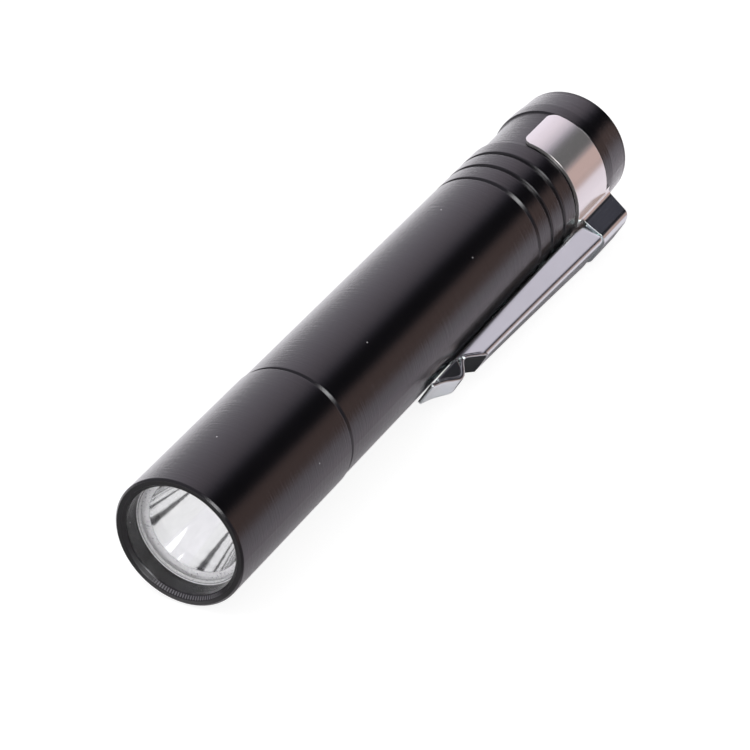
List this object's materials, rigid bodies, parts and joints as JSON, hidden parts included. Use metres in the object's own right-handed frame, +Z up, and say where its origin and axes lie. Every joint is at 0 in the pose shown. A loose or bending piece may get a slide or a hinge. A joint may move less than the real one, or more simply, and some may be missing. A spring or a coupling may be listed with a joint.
{
  "type": "penlight",
  "caption": "Slim round torch with a deep reflector head, battery tube, push-button tail cap and a sprung pocket clip.",
  "frame": {"origin": "centre of the head's front rim, on the tube axis", "axes": "+Y along the tube axis from the head to the tail cap, +Z up as it lies, +X to the clip's side"},
  "size_m": [0.0167, 0.0862, 0.0142],
  "materials": {
    "black_anodised": "black anodised, fine turned, semi-gloss",
    "polished_steel": "bright polished stainless sheet",
    "satin_steel": "finely brushed stainless sheet",
    "clear_lens": "clear",
    "pale_gasket": "translucent",
    "bright_reflector": "metallised",
    "white_plastic": "matt",
    "diode_body": "matt",
    "diode_dome": "clear over yellow phosphor",
    "white_board": "matt white on aluminium",
    "brass": "turned",
    "gold_contact": "plated",
    "spring_steel": "drawn wire",
    "red_lead": "insulated wire",
    "black_lead": "insulated wire",
    "green_board": "solder mask",
    "black_parts": "moulded",
    "seal_rubber": "matt",
    "boot_rubber": "matt",
    "nickel": "nickel plated",
    "jacket_film": "plain film",
    "card": "pressed card",
    "bare_aluminium": "turned"
  },
  "bodies": {
    "tube": {"body_tube": "black_anodised", "battery_can": "nickel", "battery_jacket": "jacket_film", "battery_insulator": "card", "battery_positive_cap": "nickel"},
    "head_thread": {"head_o_ring": "seal_rubber"},
    "head": {"head_shell": "black_anodised", "lens_gasket": "pale_gasket", "lens": "clear_lens", "reflector": "bright_reflector", "centering_ring": "white_plastic", "led_package": "diode_body", "led_dome": "diode_dome", "led_board": "white_board", "led_pill": "brass", "led_wire_positive": "red_lead", "led_wire_negative": "black_lead", "driver_board": "green_board", "driver_parts": "black_parts", "driver_contact": "gold_contact"},
    "tail_thread": {"tail_o_ring": "seal_rubber"},
    "tail": {"tail_cap": "black_anodised", "retaining_ring": "bare_aluminium", "switch_board": "green_board", "tail_spring": "gold_contact", "switch_terminals": "gold_contact", "switch_base": "black_parts", "switch_cover": "black_parts", "switch_spring": "spring_steel"},
    "button": {"switch_plunger": "white_plastic", "switch_contact_plate": "gold_contact", "switch_boot": "boot_rubber"},
    "clip": {"clip_band": "satin_steel"},
    "clip_spring_arm": {"clip_arm": "polished_steel"}
  },
  "joints": [
    {"name": "head_turn", "type": "hinge", "parent": "tube", "child": "head_thread", "pos_m": [0, 0.0208, 0], "axis": [0, -1, 0], "range_deg": [0, 1620]},
    {"name": "head_travel", "type": "slide", "parent": "head_thread", "child": "head", "axis": [0, -1, 0], "range_m": [0, 0.0034]},
    {"name": "tail_turn", "type": "hinge", "parent": "tube", "child": "tail_thread", "pos_m": [0, 0.0642, 0], "axis": [0, 1, 0], "range_deg": [0, 1800]},
    {"name": "tail_travel", "type": "slide", "parent": "tail_thread", "child": "tail", "axis": [0, 1, 0], "range_m": [0, 0.0038]},
    {"name": "button_press", "type": "slide", "parent": "tail", "child": "button", "axis": [0, -1, 0], "range_m": [0, 0.0013], "stiffness_N_per_m": 1500, "springref_m": -0.001, "deforming": ["switch_spring", "switch_boot"]},
    {"name": "clip_swivel", "type": "hinge", "parent": "tail", "child": "clip", "pos_m": [0, 0.07585, 0], "axis": [0, 1, 0], "continuous": true},
    {"name": "clip_flex", "type": "hinge", "parent": "clip", "child": "clip_spring_arm", "pos_m": [0.00863, 0.07375, -0.00498], "axis": [0.5, 0, 0.866], "range_deg": [0, 6], "stiffness_Nm_per_rad": 1.7}
  ],
  "couplings": [
    {"joint": "head_travel", "follows": "head_turn", "m_per_rad": 0.00011937},
    {"joint": "tail_travel", "follows": "tail_turn", "m_per_rad": 0.00011937}
  ]
}
